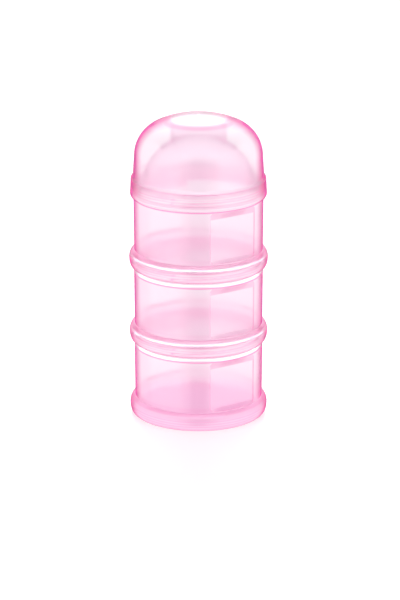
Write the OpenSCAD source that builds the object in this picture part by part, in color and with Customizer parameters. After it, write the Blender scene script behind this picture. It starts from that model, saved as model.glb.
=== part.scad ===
// Stacking milk-powder dispenser: three screw-together cups, a screw-on pouring
// funnel and a push-on dome cap. Millimetres, +Z up, the foot of the stack at z = 0.

/* [Cups] */
// Height that each cup adds to the stack
cup_pitch = 41.5; // [36:0.5:60]
// Outside diameter of a cup at its shoulder
body_d = 69.8; // [56:0.2:90]
// How much smaller the cup's radius is at its bead than at its shoulder
body_draft = 0.15; // [0:0.05:0.4]
// Thickness of a cup's side wall
body_wall = 1.7; // [1.4:0.1:2.4]
// Thickness of a cup's floor
floor_t = 1.4; // [1:0.1:2.4]
// Radius of the rounded corner between the wall and the floor, inside
floor_corner_r = 5; // [2:0.5:8]
// Height of the sloped shoulder between the wall and the neck
shoulder_h = 2.9; // [2:0.1:4]
// Thickness of a cup's skirt and the funnel's skirt around the thread
skirt_wall = 0.85; // [0.7:0.05:1.2]

/* [Bead around each foot] */
// How far the bead stands out from the shoulder's radius
bead_reach = 2.6; // [1.6:0.1:4]
// Height of the bead
bead_h = 9.8; // [8.8:0.2:13]
// Height of the bead's widest line
bead_mid = 5.4; // [4:0.2:6.4]
// Width of the flat foot ring under the bead
foot_w = 1.05; // [0.8:0.05:1.4]

/* [Necks and threads] */
// Height of a neck above its shoulder
neck_h = 4.6; // [4.2:0.1:6]
// Thickness of the neck under its thread
neck_wall = 1.1; // [0.9:0.1:1.6]
// Bevel around a neck's rim
neck_bevel = 0.3; // [0.1:0.05:0.5]
// How far a thread stands out from its wall
thread_depth = 0.6; // [0.5:0.05:0.7]
// Width of a thread where it leaves its wall
thread_root_w = 1.3; // [1:0.05:1.5]
// Width of a thread at its crest
thread_crest_w = 0.6; // [0.4:0.05:0.8]
// Distance from one thread to the next, along the axis
thread_pitch = 2.4; // [2.4:0.1:2.8]
// Number of threads side by side
thread_starts = 3; // [2:1:4]
// Plain stretch of a neck below its thread, and between the thread and the bevel
thread_margin = 0.25; // [0.1:0.05:0.5]
// Direction in which the first thread of a neck starts
thread_turn = 3.5; // [1:0.5:7]
// Radial clearance between a neck and what screws onto it
thread_gap = 0.2; // [0.15:0.05:0.3]

/* [Sealing rings] */
// Thickness of a sealing ring
seal_t = 0.8; // [0.6:0.1:1.4]
// Radial clearance around a sealing ring
seal_gap = 0.15; // [0.1:0.05:0.3]

/* [Flat panels] */
// Width of each flat panel
panel_w = 28.6; // [16:0.2:35]
// Distance from the upper edge of a panel's flat part to the shoulder
panel_drop = 4.4; // [3:0.1:8]
// Gap between the bead's top and the flat part of a panel
panel_rise = 1.8; // [1.2:0.1:3]
// Depth of a panel at its two upright edges
panel_recess = 0.5; // [0.2:0.1:0.8]
// Rounding of a panel's corners
panel_corner_r = 2.2; // [1:0.1:3]
// Height over which a panel's lower edge runs out to the wall
panel_run_low = 1.2; // [0.6:0.1:1.2]
// Gap between the shoulder and the upper edge of a panel's run-out
panel_run_gap = 0.4; // [0.3:0.1:1]
// Direction that the first panel faces; the second faces the other way
panel_turn = -55.5; // [-90:0.5:90]

/* [Funnel] */
// Width of the flat ledge around the funnel's domed part, at the skirt's lower edge
funnel_ledge = 3.9; // [2.5:0.1:8]
// Outside diameter of the spout
spout_d = 29.6; // [22:0.2:34]
// Gap between the spout's rim and the cap's roof
spout_headroom = 0.9; // [0.5:0.1:4]
// Thickness of the funnel's domed part and spout
funnel_wall = 1.3; // [1:0.1:1.8]

/* [Dome cap] */
// Height of the cap's crown above the funnel's lower edge
dome_h = 42; // [35:0.2:50]
// How far the cap's wall stands out from the cups' shoulders
dome_step = 0.3; // [0.2:0.1:1.2]
// How much smaller the wall's radius is at the rounded shoulder
dome_draft = 0.7; // [0.2:0.1:1.2]
// Radius of the cap's rounded shoulder
dome_shoulder_r = 19.5; // [14:0.5:21]
// Radius of the crowned roof
dome_roof_r = 57; // [50:1:90]
// Radius of the small flat at the middle of the roof
dome_flat_r = 1.2; // [0.5:0.1:3]
// Thickness of the cap
dome_wall = 1.5; // [1.2:0.1:1.8]
// Height of the cap's collar above the ledge that the cap rests on
dome_collar_rise = 1.4; // [1.2:0.1:3]
// Gap between the collar's lower edge and the lower edge of the shoulder that it covers
dome_collar_gap = 0.6; // [0.2:0.1:1.6]
// How far the collar's lower edge stands out from the wall
dome_collar_reach = 1.6; // [1.2:0.1:2.2]
// How much the collar's radius narrows from its lower edge to its top
dome_collar_draft = 0.5; // [0.2:0.1:0.8]
// Height of the sloped edges below and above the collar's wall
dome_collar_edge_h = 1.2; // [0.6:0.1:1.6]
// Radial clearance between the cap's collar and what it slides over
cap_gap = 0.15; // [0.1:0.05:0.3]

/* [Hidden] */

// Small overlap that joins shapes without a seam
eps = 0.01;
// Facets around a full turn, and points along a rounded stretch of outline
$fn = 96;
arc_steps = 7;
// Power of the bead's outline below and above its widest line
bead_low_power = 2.4;
bead_high_power = 1.65;
// Largest angle between two rings of points along a thread
thread_step = 8;
// Depth that a thread is rooted in its wall
thread_sink = 0.35;
// How much lower a shoulder lies on its inside than on its outside
shoulder_sink = 0.6;

body_r = body_d / 2;
bead_r = body_r + bead_reach;
inner_r = body_r - body_wall;
shoulder_z = cup_pitch - shoulder_h;
stack_z = 3 * cup_pitch;

// Radii from a skirt inward: skirt, thread crest, neck, mouth
skirt_r = body_r - skirt_wall;
foot_r = skirt_r + foot_w;
thread_crest_r = skirt_r - thread_gap;
neck_r = thread_crest_r - thread_depth;
mouth_r = neck_r - neck_wall;

// Underside and top of the floor that closes a skirt, above the skirt's lower edge
ceiling_z = neck_h + seal_t;
floor_z = ceiling_z + floor_t;

// Rise of a thread in one full turn, its lowest centre line, and the angle that it covers
thread_lead = thread_pitch * thread_starts;
thread_low_z = thread_root_w / 2 + thread_margin;
thread_rise = neck_h - neck_bevel - thread_margin - thread_root_w / 2 - thread_low_z;
thread_sweep = 360 * thread_rise / thread_lead;

// Lower and upper edge of a panel's flat part, and its distance from the axis
panel_low_z = bead_h + panel_rise;
panel_high_z = shoulder_z - panel_drop;
panel_d = sqrt(pow(body_r, 2) - pow(panel_w / 2, 2)) - panel_recess;

// Cap: its wall, its roof outside and inside, and the level of the roof's centre
dome_r = body_r + dome_step;
dome_roof_z = dome_h - sphere_z(dome_roof_r, dome_flat_r);
dome_roof_in_r = dome_roof_r - dome_wall;

funnel_r = body_r - funnel_ledge;
spout_r = spout_d / 2;
spout_top = dome_roof_z + sphere_z(dome_roof_in_r, spout_r) - spout_headroom;

// Points along a circular arc
function arc(cx, cz, r, from, to) =
    [for (i = [0:arc_steps]) let (a = from + (to - from) * i / arc_steps)
        [cx + r * cos(a), cz + r * sin(a)]];

// Points along a bulge's flank, from its widest line (s = 0) to its edge (s = 1)
function flank(r_edge, r_wide, z_wide, height, power) =
    [for (i = [0:arc_steps]) let (s = sin(90 * i / arc_steps))
        [r_edge + (r_wide - r_edge) * pow(1 - pow(s, power), 1 / power), z_wide + height * s]];

function reversed(list) = [for (i = [len(list) - 1:-1:0]) list[i]];

// Height of a sphere's surface at a given distance from the axis
function sphere_z(r, at) = sqrt(pow(r, 2) - pow(at, 2));

// One ring of a thread: a trapezium that stands on the wall and points outward (side = 1)
// or inward (side = -1)
function thread_ring(wall_r, side, a, z) =
    let (root_r = wall_r - side * thread_sink, crest_r = wall_r + side * thread_depth,
         root_half = thread_root_w / 2, crest_half = thread_crest_w / 2)
    [for (p = [[root_r, z - root_half], [crest_r, z - crest_half],
               [crest_r, z + crest_half], [root_r, z + root_half]])
        [p[0] * cos(a), p[0] * sin(a), p[1]]];

// One thread start, swept along its helix as a closed solid
module thread_start(wall_r, side) {
    count = ceil(thread_sweep / thread_step);
    rings = [for (i = [0:count]) let (a = thread_sweep * i / count)
        each thread_ring(wall_r, side, a, thread_low_z + thread_lead * a / 360)];
    sides = [for (i = [0:count - 1], j = [0:3]) let (k = (j + 1) % 4)
        [4 * i + j, 4 * i + k, 4 * i + 4 + k, 4 * i + 4 + j]];
    lids = [[3, 2, 1, 0], [4 * count, 4 * count + 1, 4 * count + 2, 4 * count + 3]];
    faces = concat(sides, lids);
    polyhedron(rings, side > 0 ? faces : [for (f = faces) reversed(f)]);
}

// All starts of one thread
module thread(wall_r, side) {
    for (i = [0:thread_starts - 1])
        rotate(thread_turn + i * 360 / thread_starts) thread_start(wall_r, side);
}

// The thread inside a skirt lies halfway between two turns of the neck's thread
module skirt_thread() {
    rotate(180 / thread_starts) thread(skirt_r, -1);
}

// Outline of a cup's inside, from the mouth down to the floor's centre
function cavity_outline(top_z) = concat(
    [[mouth_r, top_z], [mouth_r, cup_pitch - shoulder_sink], [inner_r, shoulder_z - shoulder_sink]],
    arc(inner_r - body_draft - floor_corner_r, floor_z + floor_corner_r, floor_corner_r, 0, -90),
    [[0, floor_z]]);

// Outline of a cup's shell: foot, bead, wall, shoulder, neck, inside, underside
function cup_outline() = concat(
    [[skirt_r, 0]],
    reversed(flank(foot_r, bead_r, bead_mid, -bead_mid, bead_low_power)),
    flank(body_r - body_draft, bead_r, bead_mid, bead_h - bead_mid, bead_high_power),
    [[body_r, shoulder_z], [neck_r, cup_pitch], [neck_r, cup_pitch + neck_h - neck_bevel],
     [neck_r - neck_bevel, cup_pitch + neck_h]],
    cavity_outline(cup_pitch + neck_h),
    [[0, ceiling_z], [skirt_r, ceiling_z]]);

// A block that cuts one flat panel out of a wall, running out to the wall's own curve above
// and below the flat. grow moves its faces outward, and the flat's upper edge half as much,
// so that the sloped wall above the flat keeps its thickness.
module panel_block(grow) {
    half_w = panel_w / 2 + grow;
    half_a = asin(half_w / body_r);
    low_z = panel_low_z - panel_run_low - grow;
    high_z = shoulder_z - panel_run_gap + grow;
    intersection() {
        hull() {
            translate([panel_d - grow, -half_w, panel_low_z - grow])
                cube([eps, 2 * half_w, panel_high_z - panel_low_z + grow * 3 / 2]);
            rotate(-half_a) rotate_extrude(angle = 2 * half_a, $fn = 72)
                translate([body_r, low_z]) square([bead_reach, high_z - low_z]);
        }
        translate([0, 0, (low_z + high_z) / 2])
            rotate([0, 90, 0])
                linear_extrude(2 * body_r)
                    rounded_rectangle(high_z - low_z, 2 * half_w, panel_corner_r + grow);
    }
}

module rounded_rectangle(x, y, r) {
    square([x - 2 * r, y], center = true);
    square([x, y - 2 * r], center = true);
    for (sx = [-1, 1], sy = [-1, 1])
        translate([sx * (x / 2 - r), sy * (y / 2 - r)]) circle(r, $fn = 32);
}

// One cup, with its lower edge at z = 0
module cup() {
    difference() {
        union() {
            rotate_extrude() polygon(cup_outline());
            intersection() {
                translate([0, 0, floor_z - eps])
                    cylinder(r = inner_r + eps, h = shoulder_z - shoulder_sink - floor_z + eps);
                for (side = [0, 180]) rotate(panel_turn + side) panel_block(body_wall);
            }
        }
        for (side = [0, 180]) rotate(panel_turn + side) panel_block(0);
    }
    translate([0, 0, cup_pitch]) thread(neck_r, 1);
    skirt_thread();
}

// A flat ring between a neck's rim and the ceiling above it
module seal() {
    translate([0, 0, neck_h]) rotate_extrude()
        translate([mouth_r, 0]) square([skirt_r - seal_gap - mouth_r, seal_t]);
}

module cup_bottom() {
    color([0.98, 0.78, 0.88, 0.6]) cup();
}

module cup_middle() {
    color([0.98, 0.74, 0.86, 0.6]) translate([0, 0, cup_pitch]) cup();
}

module cup_top() {
    color([0.98, 0.70, 0.84, 0.6]) translate([0, 0, 2 * cup_pitch]) cup();
}

module seal_lower() {
    color([0.95, 0.95, 0.95, 0.8]) translate([0, 0, cup_pitch]) seal();
}

module seal_middle() {
    color([0.95, 0.95, 0.95, 0.8]) translate([0, 0, 2 * cup_pitch]) seal();
}

module seal_upper() {
    color([0.95, 0.95, 0.95, 0.8]) translate([0, 0, stack_z]) seal();
}

// Funnel: threaded skirt, flat ledge, domed part and spout
module funnel() {
    inside_r = funnel_r - funnel_wall;
    ledge_a = asin(floor_z / funnel_r);
    spout_a = acos(spout_r / funnel_r);
    inside_from_a = asin(ceiling_z / inside_r);
    inside_to_a = acos((spout_r - funnel_wall) / inside_r);
    color([0.98, 0.82, 0.90, 0.6]) translate([0, 0, stack_z]) {
        rotate_extrude()
            polygon(concat(
                [[skirt_r, 0], [body_r, 0], [body_r, floor_z]],
                arc(0, 0, funnel_r, ledge_a, spout_a),
                [[spout_r, spout_top], [spout_r - funnel_wall, spout_top]],
                arc(0, 0, inside_r, inside_to_a, inside_from_a),
                [[skirt_r, ceiling_z]]));
        skirt_thread();
    }
}

// Dome cap: collar, wall, rounded shoulder and crowned roof, all one shell. It rests on the
// funnel's ledge with the step inside its collar.
module dome_cap() {
    shoulder_x = dome_r - dome_draft - dome_shoulder_r;
    shoulder_rise = sphere_z(dome_roof_r - dome_shoulder_r, shoulder_x);
    shoulder_cz = dome_roof_z + shoulder_rise;
    joint_a = atan2(shoulder_rise, shoulder_x);
    collar_in_r = body_r + cap_gap;
    collar_r = dome_r + dome_collar_reach;
    collar_low_z = dome_collar_gap - shoulder_h;
    collar_high_z = floor_z + dome_collar_rise;
    half_edge = dome_collar_edge_h / 2;
    color([0.98, 0.66, 0.82, 0.6]) translate([0, 0, stack_z]) rotate_extrude()
        polygon(concat(
            [[collar_in_r, collar_low_z], [collar_r - half_edge, collar_low_z],
             [collar_r, collar_low_z + dome_collar_edge_h],
             [collar_r - dome_collar_draft, collar_high_z - half_edge],
             [dome_r, collar_high_z + half_edge]],
            arc(shoulder_x, shoulder_cz, dome_shoulder_r, 0, joint_a),
            arc(0, dome_roof_z, dome_roof_r, joint_a, acos(dome_flat_r / dome_roof_r)),
            [[0, dome_h], [0, dome_roof_z + sphere_z(dome_roof_in_r, dome_flat_r)]],
            arc(0, dome_roof_z, dome_roof_in_r, acos(dome_flat_r / dome_roof_in_r), joint_a),
            arc(shoulder_x, shoulder_cz, dome_shoulder_r - dome_wall, joint_a, 0),
            [[dome_r - dome_wall, floor_z], [collar_in_r, floor_z]]));
}

cup_bottom();
seal_lower();
cup_middle();
seal_middle();
cup_top();
seal_upper();
funnel();
dome_cap();
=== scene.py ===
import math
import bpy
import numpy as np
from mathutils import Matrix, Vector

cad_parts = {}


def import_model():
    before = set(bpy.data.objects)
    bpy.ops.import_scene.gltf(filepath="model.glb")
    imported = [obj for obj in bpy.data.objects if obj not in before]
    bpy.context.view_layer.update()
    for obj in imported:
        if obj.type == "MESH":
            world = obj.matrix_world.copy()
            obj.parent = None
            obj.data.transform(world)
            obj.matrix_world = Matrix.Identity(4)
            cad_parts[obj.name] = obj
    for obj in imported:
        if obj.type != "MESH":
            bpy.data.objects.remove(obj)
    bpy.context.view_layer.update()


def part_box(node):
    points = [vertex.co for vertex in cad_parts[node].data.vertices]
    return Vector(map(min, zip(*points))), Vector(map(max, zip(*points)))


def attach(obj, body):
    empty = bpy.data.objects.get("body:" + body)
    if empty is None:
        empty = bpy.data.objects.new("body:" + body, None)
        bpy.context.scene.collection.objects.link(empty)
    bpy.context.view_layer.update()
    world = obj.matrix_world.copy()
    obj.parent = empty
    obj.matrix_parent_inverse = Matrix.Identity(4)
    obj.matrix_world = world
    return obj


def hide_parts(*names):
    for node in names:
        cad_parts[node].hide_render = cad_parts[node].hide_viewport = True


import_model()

# A stack of three clear pink milk-powder cups with a pouring funnel and a dome cap.
# Sections are worked out in millimetres, with the foot of each piece at z = 0; the meshes
# and the scene are in metres.

MM = 0.001


# ---------------------------------------------------------------- sizes, in millimetres

def node_low(node):
    """The height of a node's lowest point."""
    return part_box(node)[0][2] / MM


PITCH = node_low("cup_middle") - node_low("cup_bottom")
STACK = node_low("funnel")

BODY_R = 34.9
BODY_DRAFT = 0.15
BODY_WALL = 1.7
INNER_R = BODY_R - BODY_WALL
SHOULDER_Z = PITCH - 2.9
SHOULDER_SINK = 0.6
SHOULDER_CROWN = 0.35

SKIRT_R = BODY_R - 0.85
FOOT_R = SKIRT_R + 1.05
BEAD_R = BODY_R + 2.6
BEAD_MID = 5.4
BEAD_H = 9.8
CEILING_Z = 5.4
FLOOR_Z = 6.8
FLOOR_CORNER_R = 5.0

THREAD_DEPTH = 0.6
THREAD_ROOT = 1.3
THREAD_CREST = 0.6
THREAD_PITCH = 2.4
THREAD_STARTS = 3
THREAD_TURN = math.radians(3.5)
THREAD_LOW_Z = 0.9
THREAD_SWEEP = math.radians(125)
NECK_H = 4.6
NECK_R = SKIRT_R - 0.2 - THREAD_DEPTH
NECK_BEVEL = 0.3
MOUTH_R = NECK_R - 1.1

PANEL_W = 28.6
PANEL_D = math.sqrt(BODY_R ** 2 - (PANEL_W / 2) ** 2) - 0.5
PANEL_LOW_Z = BEAD_H + 1.8
PANEL_HIGH_Z = SHOULDER_Z - 4.4
PANEL_RUN_LOW = 1.2
PANEL_RUN_GAP = 0.4
PANEL_CORNER_R = 2.2
PANEL_TURN = math.radians(-55.5)

FUNNEL_R = BODY_R - 3.9
FUNNEL_WALL = 1.3
SPOUT_R = 14.8

DOME_R = BODY_R + 0.3
DOME_H = 42.0
DOME_DRAFT = 0.7
DOME_SHOULDER_R = 19.5
DOME_ROOF_R = 57.0
DOME_WALL = 1.5
COLLAR_R = DOME_R + 1.6
COLLAR_BORE_R = BODY_R + 0.15
COLLAR_LOW_Z = -2.3
COLLAR_HIGH_Z = FLOOR_Z + 1.4

# The gap drawn between two clear pieces that touch, so that their faces never coincide
SEAT_GAP = 0.03

# Spacing of a section's points in its fine bands: threads, a crease, and panels and bulges
THREAD_STEP = 0.17
CREASE_STEP = 0.2
BULGE_STEP = 0.35

# How near a point's radius lies to a wall's own where it counts as on that wall
ON_WALL = 0.02

# Where the edge lines of painted shade lie: the top of a bead from BEAD_TOP_Z up, the foot below
# FOOT_LINE_Z, the fine lines around a joint and the rim of the cap's roof
BEAD_TOP_Z = 8.0
FOOT_LINE_Z = 1.1
RING_PITCH = 1.4
ROOF_RIM_R = 18.8

# Where highlights are painted by a full coat: one line around a bead, and the middle of the cap's
# roof
BEAD_HIGHLIGHT_Z = 7.4
ROOF_HIGHLIGHT_R = 16.5

# How strong each edge line of painted shade is, from 0 to 1
PANEL_RULE_SHARE = 0.5
CORNER_SHARE = 0.15
FOOT_SHARE = 0.5
BEAD_SHARE = 0.3
RING_SHARE = 0.3
ROOF_SHARE = 0.6
HIDDEN_SHARE = 0.4


# ---------------------------------------------------------------- finishes and lights

TINT = (0.986, 0.91, 0.955)
PALE_TINT = (0.99, 0.957, 0.98)
# The deep tint: where an outer wall is seen at a grazing angle, and as painted shade along edge
# lines
DEEP_TINT_AND_EDGE_SHADE = (1.0, 0.03, 0.42)
WITHIN = (1.0, 0.0, 0.58)
THIN_SHARE = 0.2
# How far the deep tint takes over on the edge lines of painted shade
EDGE_SHADE_SHARE = 0.9
PLASTIC_IOR = 1.06
COAT_IOR = 2.2
COAT_WEIGHT = 0.18

# The smoothest and roughest surface, and the coat's roughness
PLASTIC_ROUGHS = (0.3, 0.4, 0.12)
SEAL_ROUGHS = (0.3, 0.4, 0.3)

# How strongly light fades by depth, for each metre
PLASTIC_DEPTH = 20.0
SEAL_DEPTH = 10.0

# Layer Weight's Facing where the coat begins and ends to fade, and what is left of it
COAT_FADE = (0.82, 0.94)
COAT_LEFT = 0.3

# The room's levels in reflections: the camera's side, both flanks, high flanks, high behind,
# low behind, from below and straight up
DIM, FLANKS, HIGH, BEHIND, BACK, BELOW, TOP = 0.5, 4.0, 4.0, 4.0, 0.8, 3.0, 2.5
ROOM_LEVEL = 0.5

FLOOR_SIDE = 6.0
FLOOR_SINK = 0.0001
FLOOR_BASE = (0.2, 0.2, 0.2)
FLOOR_ROUGHNESS = 0.3
FLOOR_IOR = 3.5
FLOOR_GLOW = 0.6

# A painted pink shadow on the floor under the stack, seen only through the plastic: pink out to
# the first radius and white from the second, in metres from the axis
PAINTED_PINK_SHADOW = (0.97, 0.6, 0.82)
PINK_SHADOW_FROM, PINK_SHADOW_TO = 0.034, 0.05

# The height that the lamps face, in metres
STACK_MIDDLE = 0.085

# Each lamp's turn and rise in degrees, distance, width and height in metres, and brightness
LAMPS = {"softbox_left": (-54, 0, 1.3, 2.2, 2.2, 1.5),
         "softbox_right": (54, 0, 1.3, 2.2, 2.2, 1.5),
         "softbox_top": (0, 50, 1.3, 1.4, 0.7, 1.2),
         "softbox_back": (180, 42, 1.6, 1.6, 1.4, 1.6)}

# The lens, in millimetres, and the camera's place in metres and dip in radians
LENS = 151.85
EYE = (0.0008, -1.3093, 0.48646)
EYE_DIP = 0.313


# ---------------------------------------------------------------- sections

def arc(centre, radius, start, end, count=10):
    """Points along a circular arc, between two angles in degrees."""
    a = np.radians(np.linspace(start, end, count))
    return np.stack([centre[0] + radius * np.cos(a), centre[1] + radius * np.sin(a)], 1)


def flank(edge_r, height, power, count=12):
    """A bulge's flank from its widest line to its edge: a superellipse of the given power."""
    s = np.sin(np.linspace(0, math.pi / 2, count))
    swell = (1 - s ** power) ** (1 / power)
    return np.stack([edge_r + (BEAD_R - edge_r) * swell, BEAD_MID + height * s], 1)


def crowned(start, end, rise, count=9):
    """Points from start to end along a shallow arc that stands rise proud of the straight line."""
    a, b = np.array(start, float), np.array(end, float)
    t = np.linspace(0, 1, count)[:, None]
    side = np.array([b[1] - a[1], a[0] - b[0]]) / np.linalg.norm(b - a)
    return a + (b - a) * t + 4 * rise * t * (1 - t) * side


def rounded(points, radius, count=5):
    """
    A section whose inner corners are rounded. Each corner becomes a quadratic curve from the
    point before it to the point after it, at a distance of radius or a third of the shorter
    side, whichever is less. Turns of under 12 degrees are left alone.
    """
    p = np.asarray(points, float)
    before, here, after = p[:-2], p[1:-1], p[2:]
    back, on = before - here, after - here
    back_l = np.linalg.norm(back, axis=1, keepdims=True)
    on_l = np.linalg.norm(on, axis=1, keepdims=True)
    reach = np.minimum(radius, np.minimum(back_l, on_l) / 3)
    start = here + back / back_l * reach
    end = here + on / on_l * reach
    t = np.linspace(0, 1, count)[None, :, None]
    curve = (1 - t) ** 2 * start[:, None] + 2 * t * (1 - t) * here[:, None] + t ** 2 * end[:, None]
    turn = np.sum(back * on, axis=1) / (back_l * on_l)[:, 0]
    sharp = turn > -math.cos(math.radians(12))
    curve = np.where(sharp[:, None, None], curve, here[:, None])
    return np.concatenate([p[:1], curve.reshape(-1, 2), p[-1:]])


def lengths(p):
    """The distance along a section to each of its points."""
    return np.concatenate([[0], np.cumsum(np.linalg.norm(np.diff(p, axis=0), axis=1))])


def turns(p):
    """The angle by which a section turns at each of its points, 0 at its two ends."""
    step = np.diff(p, axis=0)
    heading = np.unwrap(np.arctan2(step[:, 1], step[:, 0]))
    return np.concatenate([[0], np.diff(heading), [0]])


def sampled(points, bands=(), step=1.6, apart=0.12):
    """
    A section resampled along its length: its own points, one more at least every step, a few
    beside each turn of over 8 degrees, and closer ones where it lies in one of the bands (low,
    high, least radius, most radius, spacing). No added point is nearer than apart to another.
    """
    p = np.asarray(points, float)
    own = lengths(p)
    keep = np.concatenate([[True], np.diff(own) > 1e-4])
    p, own = p[keep], own[keep]
    edges = own[np.abs(turns(p)) > math.radians(8)]
    beside = (edges[:, None] + np.array([-0.5, -0.25, 0.25, 0.5])).ravel()
    added = [np.linspace(a, b, max(int(math.ceil((b - a) / step)), 1), endpoint=False)
             for a, b in zip(own[:-1], own[1:])]
    for low, high, least, most, spacing in bands:
        close = np.arange(0, own[-1], spacing)
        r, z = np.interp(close, own, p[:, 0]), np.interp(close, own, p[:, 1])
        added.append(close[(z > low) & (z < high) & (r > least) & (r < most)])
    added = np.unique(np.concatenate([*added, np.clip(beside, 0, own[-1])]))
    added = added[np.abs(added[:, None] - own).min(axis=1) > apart]
    added = added[np.concatenate([[True], np.diff(added) > apart])]
    at = np.unique(np.concatenate([own, added]))
    return np.stack([np.interp(at, own, p[:, 0]), np.interp(at, own, p[:, 1])], 1)


def edge_share(p, looped):
    """
    How much of an edge each point of a section lies on, from 0 on a smooth run to 1: the angle
    by which the section turns within about a quarter of a millimetre, from 20 to 60 degrees.
    """
    ring = np.concatenate([p, p, p]) if looped else p
    length, turn = lengths(ring), turns(ring)
    near = np.exp(-0.5 * ((length[:, None] - length[None, :]) / 0.22) ** 2)
    share = np.clip((np.degrees(np.abs(near @ turn)) - 20) / 40, 0, 1)
    return share[len(p):2 * len(p)] if looped else share


def outer_share(p, looped):
    """How far the clear side of a section's wall faces away from the axis, from 0 to 1."""
    ring = np.concatenate([p[-1:], p, p[:1]]) if looped else np.concatenate([p[:1], p, p[-1:]])
    along = ring[2:] - ring[:-2]
    area = np.sum(p[:, 0] * np.roll(p[:, 1], -1) - np.roll(p[:, 0], -1) * p[:, 1])
    away = math.copysign(1, area) * along[:, 1] / np.maximum(np.linalg.norm(along, axis=1), 1e-9)
    return np.clip(away, 0, 1)


# ---------------------------------------------------------------- surfaces

def angles(count, edges=(), extra=20, reach=3.6):
    """
    Directions around the axis: count of them evenly spaced, and extra ones within reach, in
    degrees, of each edge.
    """
    even = np.linspace(0, 2 * math.pi, count, endpoint=False)
    near = [e + np.radians(np.linspace(-reach, reach, extra)) for e in edges]
    every = np.unique(np.round(np.mod(np.concatenate([even, *near]), 2 * math.pi), 5))
    return every[np.concatenate([[True], np.diff(every) > 0.0015])]


def turned(name, section, around, reshape, height, looped=False, mark=None, skin_r=0, edge_r=0,
           painted_highlight=None, thin=None, hidden=0, gain=1):
    """
    A section turned about the vertical axis: a grid of distance along the section by direction
    around the axis. reshape(r, z, a) gives each grid point's radius. The two ends of the
    section lie on the axis and close to a point, or, when looped, join each other.

    The mesh keeps four values for its material, each from 0 to 1. edge is the share of painted
    shade along an edge, times hidden inside the radius edge_r, and mark(r, z, a) may add to it.
    outer is how far the surface faces away from the axis, times gain, outside the radius skin_r.
    The share of painted highlight and thin come from their own functions of (r, z, a).
    """
    r, z = section.T
    edge = edge_share(section, looped) * np.where(r > edge_r, 1, hidden)
    edge = edge * (np.abs(z - BEAD_H) > 0.6)
    outer = np.clip(gain * outer_share(section, looped), 0, 1) * (r > skin_r)
    if not looped:
        r, z, edge, outer = r[1:-1], z[1:-1], edge[1:-1], outer[1:-1]
    flat = 0 * around
    spots = r[:, None] + flat, z[:, None] + flat, around[None, :] + 0 * r[:, None]
    radius = reshape(*spots)
    shares = {"edge": np.maximum(edge[:, None], mark(*spots)) if mark else edge[:, None] + flat,
              "outer": outer[:, None] + flat,
              "painted_highlight": painted_highlight(*spots) if painted_highlight else 0 * radius,
              "thin": thin(*spots) if thin else 0 * radius}
    rows, columns = radius.shape
    grid = np.stack([radius * np.cos(around), radius * np.sin(around),
                     z[:, None] + height + flat], 2).reshape(-1, 3)
    row = np.arange(rows if looped else rows - 1)[:, None]
    column = np.arange(columns)[None, :]
    low, high = row * columns, (row + 1) % rows * columns
    beside = (column + 1) % columns
    quads = np.stack([low + column, low + beside, high + beside, high + column], 2).reshape(-1, 4)
    faces = quads.tolist()
    if not looped:
        ends = np.array([[0, 0, section[0, 1] + height], [0, 0, section[-1, 1] + height]])
        grid = np.concatenate([grid, ends])
        c, b = column[0], beside[0]
        first = np.stack([0 * c + rows * columns, b, c], 1)
        top = (rows - 1) * columns
        last = np.stack([0 * c + rows * columns + 1, top + c, top + b], 1)
        faces += first.tolist() + last.tolist()
    mesh = bpy.data.meshes.new(name)
    mesh.from_pydata((grid * MM).tolist(), [], faces)
    mesh.update()
    for label, share in shares.items():
        value = np.zeros(len(mesh.vertices), np.float32)
        value[:rows * columns] = share.ravel()
        mesh.attributes.new(label, "FLOAT", "POINT").data.foreach_set("value", value)
    outward(mesh)
    mesh.polygons.foreach_set("use_smooth", np.ones(len(mesh.polygons), bool))
    mesh.set_sharp_from_angle(angle=math.radians(30))
    piece = bpy.data.objects.new(name, mesh)
    bpy.context.scene.collection.objects.link(piece)
    return piece


def outward(mesh):
    """Turns the faces over if the closed mesh encloses a negative volume."""
    mesh.calc_loop_triangles()
    spots = np.empty(len(mesh.vertices) * 3)
    mesh.vertices.foreach_get("co", spots)
    corners = np.empty(len(mesh.loop_triangles) * 3, int)
    mesh.loop_triangles.foreach_get("vertices", corners)
    a, b, c = np.moveaxis(spots.reshape(-1, 3)[corners.reshape(-1, 3)], 1, 0)
    if np.sum(a * np.cross(b, c)) < 0:
        mesh.flip_normals()


# ---------------------------------------------------------------- threads and panels

def thread_height(z, a, turn):
    """
    How far a thread stands out at a height and direction: a trapezium around the helix of each
    start, as a share of its depth. It fades in and out over the last four degrees.
    """
    third = 2 * math.pi / THREAD_STARTS
    along = np.mod(a - THREAD_TURN - turn, third)
    height = 0 * along
    for ahead in (along, along + third):
        centre = THREAD_LOW_Z + THREAD_PITCH * THREAD_STARTS * ahead / (2 * math.pi)
        slope = (THREAD_ROOT / 2 - np.abs(z - centre)) / ((THREAD_ROOT - THREAD_CREST) / 2)
        fade = np.clip(np.minimum(ahead, THREAD_SWEEP - ahead) / math.radians(4), 0, 1)
        height = np.maximum(height, np.clip(slope, 0, 1) * fade)
    return height


def neck_thread(r, z, a, foot):
    """The radius with the thread of a neck that starts at height foot."""
    on_neck = (np.abs(r - NECK_R) < ON_WALL) & (z > foot) & (z < foot + NECK_H)
    return r + on_neck * THREAD_DEPTH * thread_height(z - foot, a, 0)


def skirt_thread(r, z, a):
    """The radius with the thread inside a skirt, halfway between two turns of a neck's."""
    in_skirt = (np.abs(r - SKIRT_R) < ON_WALL) & (z > 0) & (z < CEILING_Z)
    return r - in_skirt * THREAD_DEPTH * thread_height(z, a, math.pi / THREAD_STARTS)


def panel_turn(a):
    """The angle between a direction and the nearer panel's own."""
    return np.mod(a - PANEL_TURN + math.pi / 2, math.pi) - math.pi / 2


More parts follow.
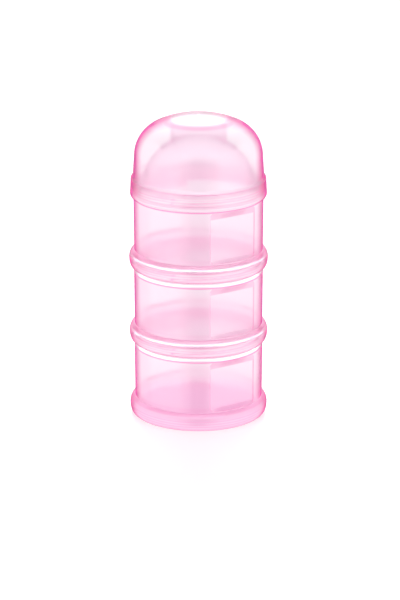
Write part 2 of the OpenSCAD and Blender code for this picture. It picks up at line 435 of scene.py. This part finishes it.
def panel_share(z, a, grow):
    """
    1 inside a panel's outline and 0 outside it, with a soft step of half a millimetre. The
    outline is a rounded rectangle, told by its signed distance.
    """
    low, high = PANEL_LOW_Z - PANEL_RUN_LOW - grow, SHOULDER_Z - PANEL_RUN_GAP + grow
    corner = PANEL_CORNER_R + grow
    across = np.abs(BODY_R * np.sin(panel_turn(a))) - (PANEL_W / 2 + grow - corner)
    along = np.abs(z - (low + high) / 2) - ((high - low) / 2 - corner)
    distance = (np.hypot(np.maximum(across, 0), np.maximum(along, 0))
                + np.minimum(np.maximum(across, along), 0) - corner)
    inside = np.clip(0.5 - distance / 0.5, 0, 1)
    return inside * inside * (3 - 2 * inside)


def panelled(r, z, a, grow, wall):
    """
    The radius of a wall with two opposite flat panels. The flat lies at a fixed distance from
    the axis, and runs out to the wall's own curve above and below by straight rules.
    """
    flat = (PANEL_D - grow) / np.cos(panel_turn(a))
    high = SHOULDER_Z - PANEL_RUN_GAP + grow
    up = (z - PANEL_HIGH_Z - grow / 2) / (high - PANEL_HIGH_Z - grow / 2)
    down = (PANEL_LOW_Z - grow - z) / PANEL_RUN_LOW
    ruled = flat + (BODY_R - flat) * np.clip(np.maximum(up, down), 0, 1)
    return np.where(wall, np.minimum(r, r + (ruled - r) * panel_share(z, a, grow)), r)


def wall_edge_shade(r, z, a):
    """
    How much painted shade a point of a cup takes, as dark lines along its edges and creases: a
    panel's outline and sloping top, the thicker corner where the wall meets the floor, the foot,
    the neck's thread, the top of the bead, the crease under the shoulder, and the fine lines
    around the joint.
    """
    inside = panel_share(z, a, 0)
    outline = 2.6 * inside * (1 - inside)
    rule = PANEL_RULE_SHARE * inside * np.clip((z - PANEL_HIGH_Z) / 0.5, 0, 1)
    corner = CORNER_SHARE * np.clip((BEAD_H + 3.6 - z) / 1.5, 0, 1)
    on_wall = (np.abs(r - BODY_R) < 0.2) & (z > BEAD_H) & (z < SHOULDER_Z)
    wall = on_wall * np.maximum(np.maximum(outline, rule), corner)
    foot = FOOT_SHARE * (r > SKIRT_R + 0.2) * np.clip((FOOT_LINE_Z - z) / 0.4, 0, 1)
    on_neck = (np.abs(r - NECK_R) < ON_WALL) & (z > PITCH) & (z < PITCH + NECK_H)
    thread = thread_height(z - PITCH, a, 0)
    lines = on_neck * np.clip(6 * thread * (1 - thread), 0, 1)
    on_top = (r > BODY_R + 0.05) & (z < BEAD_H)
    top = BEAD_SHARE * on_top * np.clip((z - BEAD_TOP_Z) / 0.5, 0, 1)
    crease = np.clip(1.2 - np.abs(z - SHOULDER_Z) / 0.5, 0, 1) * (np.abs(r - BODY_R) < 0.3)
    rings = ring_shade_lines(z, 1.0, 6.2) * (r > SKIRT_R + 1.2)
    return np.maximum.reduce([wall, foot, lines, top, rings, crease])


def ring_shade_lines(z, low, high):
    """Fine lines of painted shade around a joint, where the thread shows through: the cube of a
    raised cosine.
    """
    wave = (0.5 + 0.5 * np.cos(2 * math.pi * z / RING_PITCH)) ** 3
    return RING_SHARE * wave * (z > low) * (z < high)


def joint_thin(r, z, a):
    """Where a cup is thinner: the faces of its neck and skirt."""
    skirt = (r < SKIRT_R + 0.05) & (z < CEILING_Z + 0.05)
    return 1.0 * (skirt | ((z > PITCH) & (r < NECK_R + 0.05)))


def funnel_thin(r, z, a):
    """Where the funnel is thinner: its skirt."""
    return 1.0 * ((r > FUNNEL_R + 0.3) & (z < FLOOR_Z + 0.1))


def collar_thin(r, z, a):
    """Where the cap is thinner: its collar."""
    return 1.0 * (z < FLOOR_Z + 1.0)


def shoulder_painted_highlight(r, z, a):
    """Where a cup's shoulder takes a painted highlight, by a full coat."""
    return np.clip((z - SHOULDER_Z - 0.4) / 0.4, 0, 1) * (z < PITCH - 0.1) * (r > NECK_R + 0.1)


def cup_painted_highlight(r, z, a):
    """Where a cup takes a painted highlight, by a full coat: its shoulder, and one line around the
    top of the bead.
    """
    shoulder = shoulder_painted_highlight(r, z, a)
    line = np.clip(1.5 - np.abs(z - BEAD_HIGHLIGHT_Z) / 0.5, 0, 1) * (r > BODY_R + 0.5)
    return np.maximum(shoulder, line)


def roof_edge_shade(r, z, a):
    """
    How much painted shade a point of the cap takes: a soft dark band at the rim of its roof, on
    the outside only, and the fine lines around its collar.
    """
    outside = np.hypot(r, z - roof_level()) > DOME_ROOF_R - DOME_WALL / 2
    rim = np.clip(1.4 - np.abs(r - ROOF_RIM_R) / 2.2, 0, 1) * (z > DOME_H - 7.0) * outside
    return ROOF_SHARE * rim + ring_shade_lines(z, -1.6, 5.6) * (r > DOME_R + 1.0)


def roof_painted_highlight(r, z, a):
    """Where the cap takes a painted highlight, by a full coat: the top of its roof."""
    return np.clip((ROOF_HIGHLIGHT_R - r) / 2.5, 0, 1) * (z > DOME_H - 4.5)


# ---------------------------------------------------------------- pieces

SKIRT_BAND = (0.2, CEILING_Z - 0.2, SKIRT_R - ON_WALL, SKIRT_R + ON_WALL, THREAD_STEP)


def cup(name, height):
    """
    A cup. Its section runs from the underside's centre down inside the skirt, out over the
    foot and the bead, up the wall, shoulder and neck, and down inside to the floor's centre.
    The bottom cup's bead has no painted highlight line.
    """
    corner = (INNER_R - BODY_DRAFT - FLOOR_CORNER_R, FLOOR_Z + FLOOR_CORNER_R)
    section = np.concatenate([
        [[0, CEILING_Z], [SKIRT_R, CEILING_Z], [SKIRT_R, 0]],
        flank(FOOT_R, -BEAD_MID, 2.4)[::-1],
        flank(BODY_R - BODY_DRAFT, BEAD_H - BEAD_MID, 1.65)[1:],
        crowned((BODY_R, SHOULDER_Z), (NECK_R, PITCH), SHOULDER_CROWN),
        [[NECK_R, PITCH + NECK_H - NECK_BEVEL],
         [NECK_R - NECK_BEVEL, PITCH + NECK_H], [MOUTH_R, PITCH + NECK_H],
         [MOUTH_R, PITCH - SHOULDER_SINK], [INNER_R, SHOULDER_Z - SHOULDER_SINK]],
        arc(corner, FLOOR_CORNER_R, 0, -90),
        [[0, FLOOR_Z]]])
    low, high = PANEL_LOW_Z - PANEL_RUN_LOW, SHOULDER_Z
    section = sampled(rounded(section, 0.35), [
        SKIRT_BAND,
        (PITCH + 0.2, PITCH + NECK_H - NECK_BEVEL, NECK_R - ON_WALL, NECK_R + ON_WALL,
         THREAD_STEP),
        (low - 0.6, low + 2.6, INNER_R - 1, BODY_R + 0.1, BULGE_STEP),
        (high - 5.6, high, INNER_R - 1, BODY_R + 0.1, BULGE_STEP),
        (high - 1, high + 1, INNER_R + 0.5, BODY_R + 0.1, CREASE_STEP),
        (0.9, 8.6, BODY_R + 0.5, BEAD_R + 0.1, BULGE_STEP)])
    edge = math.asin(PANEL_W / 2 / BODY_R)
    edges = [PANEL_TURN + side + sign * edge for side in (0, math.pi) for sign in (-1, 1)]

    def reshape(r, z, a):
        outside = ((r > BODY_R - BODY_DRAFT - ON_WALL) & (r < BODY_R + ON_WALL)
                   & (z > BEAD_H) & (z < SHOULDER_Z))
        inside = ((r > MOUTH_R) & (r < INNER_R + ON_WALL)
                  & (z > FLOOR_Z + 0.5) & (z < SHOULDER_Z - 0.5))
        r = panelled(r, z, a, 0, outside)
        r = panelled(r, z, a, BODY_WALL, inside)
        return skirt_thread(neck_thread(r, z, a, PITCH), z, a)

    return turned(name, section, angles(240, edges), reshape, height, mark=wall_edge_shade,
                  skin_r=BODY_R - 0.3, edge_r=BODY_R - 0.3,
                  painted_highlight=cup_painted_highlight if height > 0 else shoulder_painted_highlight, thin=joint_thin,
                  hidden=HIDDEN_SHARE)


def seal(name, height):
    """A flat sealing ring between a neck's rim and the ceiling above it."""
    low, high = NECK_H + SEAT_GAP, CEILING_Z - SEAT_GAP
    section = rounded([[MOUTH_R, NECK_H + 0.4], [MOUTH_R, low], [SKIRT_R - 0.15, low],
                       [SKIRT_R - 0.15, high], [MOUTH_R, high], [MOUTH_R, NECK_H + 0.4]], 0.2)[:-1]
    return turned(name, section, angles(240), lambda r, z, a: r, height, looped=True)


def funnel(name, height):
    """The funnel: skirt, ledge, domed part and spout, as one looped section."""
    inside = FUNNEL_R - FUNNEL_WALL
    top = spout_top()
    ledge_a = math.degrees(math.asin(FLOOR_Z / FUNNEL_R))
    spout_a = math.degrees(math.acos(SPOUT_R / FUNNEL_R))
    from_a = math.degrees(math.asin(CEILING_Z / inside))
    to_a = math.degrees(math.acos((SPOUT_R - FUNNEL_WALL) / inside))
    section = np.concatenate([
        [[SKIRT_R, 2.7], [SKIRT_R, 0], [BODY_R, 0], [BODY_R, FLOOR_Z]],
        arc((0, 0), FUNNEL_R, ledge_a, spout_a, 16),
        [[SPOUT_R, top], [SPOUT_R - FUNNEL_WALL, top]],
        arc((0, 0), inside, to_a, from_a, 16),
        [[SKIRT_R, CEILING_Z], [SKIRT_R, 2.7]]])
    section = sampled(rounded(section, 0.35), [SKIRT_BAND])[:-1]
    return turned(name, section, angles(300), skirt_thread, height, looped=True,
                  skin_r=BODY_R - 0.3, edge_r=BODY_R - 0.3, thin=funnel_thin)


def roof_level():
    """The height of the centre of the cap's crowned roof."""
    return DOME_H - DOME_ROOF_R


def spout_top():
    """The height of the spout's rim, a little under the cap's roof."""
    return roof_level() + math.sqrt((DOME_ROOF_R - DOME_WALL) ** 2 - SPOUT_R ** 2) - 0.9


def dome_cap(name, height):
    """The cap: collar, wall, rounded shoulder and crowned roof, outside and inside."""
    level = roof_level()
    across = DOME_R - DOME_DRAFT - DOME_SHOULDER_R
    rise = math.sqrt((DOME_ROOF_R - DOME_SHOULDER_R) ** 2 - across ** 2)
    joint = math.degrees(math.atan2(rise, across))
    section = np.concatenate([
        arc((0, level), DOME_ROOF_R, 90, joint, 16),
        arc((across, level + rise), DOME_SHOULDER_R, joint, 0, 20)[1:],
        [[DOME_R, COLLAR_HIGH_Z + 0.6], [COLLAR_R - 0.5, COLLAR_HIGH_Z - 0.6],
         [COLLAR_R, COLLAR_LOW_Z + 1.2], [COLLAR_R - 0.6, COLLAR_LOW_Z],
         [COLLAR_BORE_R, COLLAR_LOW_Z], [COLLAR_BORE_R, FLOOR_Z + SEAT_GAP],
         [DOME_R - DOME_WALL, FLOOR_Z + SEAT_GAP]],
        arc((across, level + rise), DOME_SHOULDER_R - DOME_WALL, 0, joint, 20),
        arc((0, level), DOME_ROOF_R - DOME_WALL, joint, 90, 16)[1:]])
    section[0, 0] = section[-1, 0] = 0
    section = sampled(rounded(section, 0.4), [
        (-1.8, 5.8, DOME_R + 1.0, COLLAR_R + 0.1, BULGE_STEP)])
    return turned(name, section, angles(300), lambda r, z, a: r, height, mark=roof_edge_shade,
                  edge_r=DOME_R + 0.1, painted_highlight=roof_painted_highlight, thin=collar_thin, gain=2.2)


# ---------------------------------------------------------------- materials

def node(tree, kind, **values):
    """A new node with its inputs set by name."""
    made = tree.nodes.new(kind)
    for key, value in values.items():
        made.inputs[key.replace("_", " ")].default_value = value
    return made


def joined(tree, kind, one, other):
    """Two values put together by a Math node: each is a socket or a plain number."""
    made = tree.nodes.new("ShaderNodeMath")
    made.operation = kind
    for socket, value in zip(made.inputs, (one, other)):
        if isinstance(value, (int, float)):
            socket.default_value = value
        else:
            tree.links.new(value, socket)
    return made.outputs[0]


def ranged(tree, value, start, end, low=0.0, high=1.0, soft=False):
    """A value mapped from start..end to low..high and held there, softly or straight."""
    made = node(tree, "ShaderNodeMapRange", From_Min=start, From_Max=end, To_Min=low, To_Max=high)
    if soft:
        made.interpolation_type = "SMOOTHSTEP"
    tree.links.new(value, made.inputs["Value"])
    return made.outputs["Result"]


def mixed(tree, share, one, other):
    """A colour between two others: each is a socket or a plain colour."""
    made = tree.nodes.new("ShaderNodeMix")
    made.data_type = "RGBA"
    tree.links.new(share, made.inputs[0])
    for socket, value in zip(made.inputs[6:8], (one, other)):
        if isinstance(value, tuple):
            socket.default_value = (*value, 1)
        else:
            tree.links.new(value, socket)
    return made.outputs[2]


def kept(tree, label):
    """A value that the mesh keeps for each of its points."""
    made = tree.nodes.new("ShaderNodeAttribute")
    made.attribute_name = label
    return made.outputs["Fac"]


def moulded_surface():
    """
    A node group for a moulded plastic surface: very shallow flow ripples for the normal, and a
    roughness that wanders between two values, with fine handling marks.
    """
    group = bpy.data.node_groups.new("moulded_surface", "ShaderNodeTree")
    face = group.interface
    for label, value in (("Smooth", 0.02), ("Rough", 0.1), ("Ripple", 0.02)):
        face.new_socket(label, in_out="INPUT", socket_type="NodeSocketFloat").default_value = value
    face.new_socket("Roughness", in_out="OUTPUT", socket_type="NodeSocketFloat")
    face.new_socket("Normal", in_out="OUTPUT", socket_type="NodeSocketVector")
    came = group.nodes.new("NodeGroupInput")
    gone = group.nodes.new("NodeGroupOutput")
    place = group.nodes.new("ShaderNodeTexCoord")
    link = group.links.new
    cloudy = node(group, "ShaderNodeTexNoise", Scale=45.0, Detail=3.0)
    marks = node(group, "ShaderNodeTexNoise", Scale=900.0, Detail=2.0)
    link(place.outputs["Object"], cloudy.inputs["Vector"])
    link(place.outputs["Object"], marks.inputs["Vector"])
    both = joined(group, "MULTIPLY", cloudy.outputs["Fac"], marks.outputs["Fac"])
    spread = node(group, "ShaderNodeMapRange", From_Min=0.1, From_Max=0.45)
    link(both, spread.inputs["Value"])
    link(came.outputs["Smooth"], spread.inputs["To Min"])
    link(came.outputs["Rough"], spread.inputs["To Max"])
    link(spread.outputs["Result"], gone.inputs["Roughness"])
    bump = node(group, "ShaderNodeBump", Distance=0.0006)
    link(came.outputs["Ripple"], bump.inputs["Strength"])
    link(cloudy.outputs["Fac"], bump.inputs["Height"])
    link(bump.outputs["Normal"], gone.inputs["Normal"])
    return group


def clear_plastic(name, tint, deep_tint_and_shade, depth, ior, coat, roughs, graze):
    """
    Clear tinted plastic. Light passes almost straight on and takes a little of the tint at each
    face, less where the mesh is thin, and more again by depth. The deep tint takes over along
    an edge, as painted shade, and where an outer wall is seen at a grazing angle: the range of
    Layer Weight's Facing in graze. The coat's weight is coat, or 1 where a highlight is painted,
    and it fades at the contour. roughs holds the smoothest and roughest surface and the coat's
    roughness.
    """
    material = bpy.data.materials.new(name)
    material.use_nodes = True
    tree = material.node_tree
    link = tree.links.new
    shader = tree.nodes["Principled BSDF"]
    for label, value in (("Transmission Weight", 1.0), ("IOR", ior), ("Coat IOR", COAT_IOR),
                         ("Coat Roughness", roughs[2])):
        shader.inputs[label].default_value = value
    surface = tree.nodes.new("ShaderNodeGroup")
    surface.node_tree = SURFACE
    surface.inputs["Smooth"].default_value = roughs[0]
    surface.inputs["Rough"].default_value = roughs[1]
    link(surface.outputs["Roughness"], shader.inputs["Roughness"])
    link(surface.outputs["Normal"], shader.inputs["Normal"])

    facing = node(tree, "ShaderNodeLayerWeight", Blend=0.5).outputs["Facing"]
    # Painted highlights: the coat's weight rises to 1 where the mesh's highlight share is 1
    highlight_coat = ranged(tree, kept(tree, "painted_highlight"), 0.0, 1.0, coat, 1.0)
    fading = ranged(tree, facing, *COAT_FADE, 1.0, COAT_LEFT)
    link(joined(tree, "MULTIPLY", highlight_coat, fading), shader.inputs["Coat Weight"])

    contour = joined(tree, "MULTIPLY", ranged(tree, facing, *graze), kept(tree, "outer"))
    # Painted shade: dark lines in the deep tint along the mesh's edges and creases
    lines = joined(tree, "MULTIPLY", kept(tree, "edge"), EDGE_SHADE_SHARE)
    paler = tuple(1 - (1 - v) * THIN_SHARE for v in tint)
    plain = mixed(tree, kept(tree, "thin"), tint, paler)
    colour = mixed(tree, joined(tree, "MAXIMUM", contour, lines), plain, deep_tint_and_shade)
    link(colour, shader.inputs["Base Color"])

    inside = node(tree, "ShaderNodeVolumeAbsorption", Color=(*WITHIN, 1), Density=depth)
    link(inside.outputs["Volume"], tree.nodes["Material Output"].inputs["Volume"])
    return material


# ---------------------------------------------------------------- the object

SURFACE = moulded_surface()
PINK = clear_plastic("clear_pink_plastic", TINT, DEEP_TINT_AND_EDGE_SHADE, PLASTIC_DEPTH, PLASTIC_IOR,
                     COAT_WEIGHT, PLASTIC_ROUGHS, graze=(0.59, 0.82))
PALE = clear_plastic("thin_clear_pink_plastic", PALE_TINT, DEEP_TINT_AND_EDGE_SHADE, PLASTIC_DEPTH, PLASTIC_IOR,
                     COAT_WEIGHT, PLASTIC_ROUGHS, graze=(0.52, 0.76))
SEAL = clear_plastic("seal_silicone", (0.99, 0.9, 0.95), (0.98, 0.8, 0.9), SEAL_DEPTH,
                     ior=1.05, coat=0.1, roughs=SEAL_ROUGHS, graze=(0.6, 0.85))


def fitted(piece, material, body):
    """Gives a piece its material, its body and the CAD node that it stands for."""
    piece.data.materials.append(material)
    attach(piece, body)
    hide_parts(body)


for tier, body in enumerate(("cup_bottom", "cup_middle", "cup_top")):
    fitted(cup("clear_" + body, tier * PITCH), PINK, body)
for tier, body in enumerate(("seal_lower", "seal_middle", "seal_upper")):
    fitted(seal("ring_" + body, (tier + 1) * PITCH), SEAL, body)
fitted(funnel("clear_funnel", STACK), PALE, "funnel")
fitted(dome_cap("clear_dome_cap", STACK), PALE, "dome_cap")


# ---------------------------------------------------------------- studio

def ray(tree, label):
    """1 for rays of one kind, else 0."""
    return tree.nodes.new("ShaderNodeLightPath").outputs[label]


def floor():
    """
    A pale floor with a faint sheen, which keeps the object's shadow. It shows nearly white to
    the camera by a light of its own, and rays that come through the plastic see it as white,
    with a painted pink shadow close under the stack.
    """
    mesh = bpy.data.meshes.new("floor")
    side = FLOOR_SIDE
    mesh.from_pydata([(-side, -side, 0), (side, -side, 0), (side, side, 0), (-side, side, 0)],
                     [], [(0, 1, 2, 3)])
    plane = bpy.data.objects.new("floor", mesh)
    bpy.context.scene.collection.objects.link(plane)
    plane.location.z = -FLOOR_SINK
    plane.visible_glossy = False
    material = bpy.data.materials.new("pale_floor")
    material.use_nodes = True
    tree = material.node_tree
    link = tree.links.new
    shader = tree.nodes["Principled BSDF"]
    for label, value in (("Base Color", (*FLOOR_BASE, 1)), ("Roughness", FLOOR_ROUGHNESS),
                         ("IOR", FLOOR_IOR)):
        shader.inputs[label].default_value = value
    own = tree.nodes.new("ShaderNodeEmission")
    link(joined(tree, "MULTIPLY", ray(tree, "Is Camera Ray"), FLOOR_GLOW), own.inputs["Strength"])
    both = tree.nodes.new("ShaderNodeAddShader")
    link(shader.outputs[0], both.inputs[0])
    link(own.outputs[0], both.inputs[1])

    # Painted pink shadow under the stack, for light that came through the plastic
    away = tree.nodes.new("ShaderNodeVectorMath")
    away.operation = "LENGTH"
    link(tree.nodes.new("ShaderNodeTexCoord").outputs["Object"], away.inputs[0])
    reach = ranged(tree, away.outputs["Value"], PINK_SHADOW_FROM, PINK_SHADOW_TO)
    glow = tree.nodes.new("ShaderNodeEmission")
    link(mixed(tree, reach, PAINTED_PINK_SHADOW, (1, 1, 1)), glow.inputs["Color"])
    mix = tree.nodes.new("ShaderNodeMixShader")
    link(ray(tree, "Is Transmission Ray"), mix.inputs[0])
    link(both.outputs[0], mix.inputs[1])
    link(glow.outputs[0], mix.inputs[2])
    link(mix.outputs[0], tree.nodes["Material Output"].inputs["Surface"])
    mesh.materials.append(material)


def world():
    """
    A pale room: white where it is seen directly or through the plastic, a plain half level as
    a light, and a pattern of zones in reflections, each the product of soft steps by direction.
    The brightest zone holds, and nothing is darker than the dim level.
    """
    made = bpy.data.worlds.new("studio")
    bpy.context.scene.world = made
    made.use_nodes = True
    tree = made.node_tree
    back = tree.nodes["Background"]
    back.inputs["Color"].default_value = (1, 1, 1, 1)
    axes = tree.nodes.new("ShaderNodeSeparateXYZ")
    tree.links.new(tree.nodes.new("ShaderNodeTexCoord").outputs["Generated"], axes.inputs[0])

    def step(axis, low, high, level=1.0):
        """A soft step along one axis, from 0 at low to level at high."""
        return ranged(tree, axes.outputs[axis], low, high, 0.0, level, soft=True)

    zones = [
        [step("Y", -0.97, -0.72, FLANKS), step("Y", 0.85, 0.5), step("Z", 0.75, 0.45)],
        [step("Y", 0.3, 0.7, BACK)],
        [step("Y", 0.3, 0.6), step("Z", -0.25, -0.1)],
        [step("Z", 0.6, 0.8, TOP)],
        [step("Y", 0.2, 0.5, BEHIND), step("Z", 0.3, 0.5), step("Z", 0.88, 0.72)],
        [step("Y", 0.1, -0.3, HIGH), step("Z", 0.33, 0.45)],
        [step("Z", -0.75, -0.92, BELOW)]]
    pattern = DIM
    for first, *others in zones:
        for other in others:
            first = joined(tree, "MULTIPLY", first, other)
        pattern = joined(tree, "MAXIMUM", first, pattern)

    glossy = node(tree, "ShaderNodeMix", A=ROOM_LEVEL)
    tree.links.new(ray(tree, "Is Glossy Ray"), glossy.inputs[0])
    tree.links.new(pattern, glossy.inputs[3])
    direct = node(tree, "ShaderNodeMix", B=1.0)
    plain = joined(tree, "MAXIMUM", ray(tree, "Is Camera Ray"), ray(tree, "Is Transmission Ray"))
    tree.links.new(plain, direct.inputs[0])
    tree.links.new(glossy.outputs[0], direct.inputs[2])
    tree.links.new(direct.outputs[0], back.inputs["Strength"])


def softbox(name, turn, rise, distance, width, height, radiance):
    """
    A soft area lamp that faces the middle of the stack. turn is its direction around the stack
    from the camera's side, rise its elevation, both in degrees; radiance is its brightness.
    """
    a, e = math.radians(turn - 90), math.radians(rise)
    middle = Vector((0, 0, STACK_MIDDLE))
    way = Vector((math.cos(a) * math.cos(e), math.sin(a) * math.cos(e), math.sin(e)))
    spot = middle + distance * way
    lamp = bpy.data.lights.new(name, "AREA")
    lamp.shape = "RECTANGLE"
    lamp.size, lamp.size_y = width, height
    lamp.energy = radiance * math.pi * width * height
    box = bpy.data.objects.new(name, lamp)
    box.location = spot
    box.rotation_euler = (middle - spot).to_track_quat("-Z", "Y").to_euler()
    box.visible_camera = box.visible_transmission = False
    bpy.context.scene.collection.objects.link(box)


def camera():
    """A long lens a little above the stack, looking down at it."""
    lens = bpy.data.cameras.new("camera")
    lens.sensor_width = 36.0
    lens.lens = LENS
    eye = bpy.data.objects.new("camera", lens)
    eye.location = EYE
    eye.rotation_euler = (math.pi / 2 - EYE_DIP, 0, 0)
    bpy.context.scene.collection.objects.link(eye)
    bpy.context.scene.camera = eye


floor()
world()
for lamp, values in LAMPS.items():
    softbox(lamp, *values)
camera()

# A line of sight through the stack crosses up to two dozen faces
bpy.context.scene.view_settings.view_transform = "Standard"
bpy.context.scene.cycles.max_bounces = 32
bpy.context.scene.cycles.transmission_bounces = 32
bpy.context.scene.cycles.glossy_bounces = 12
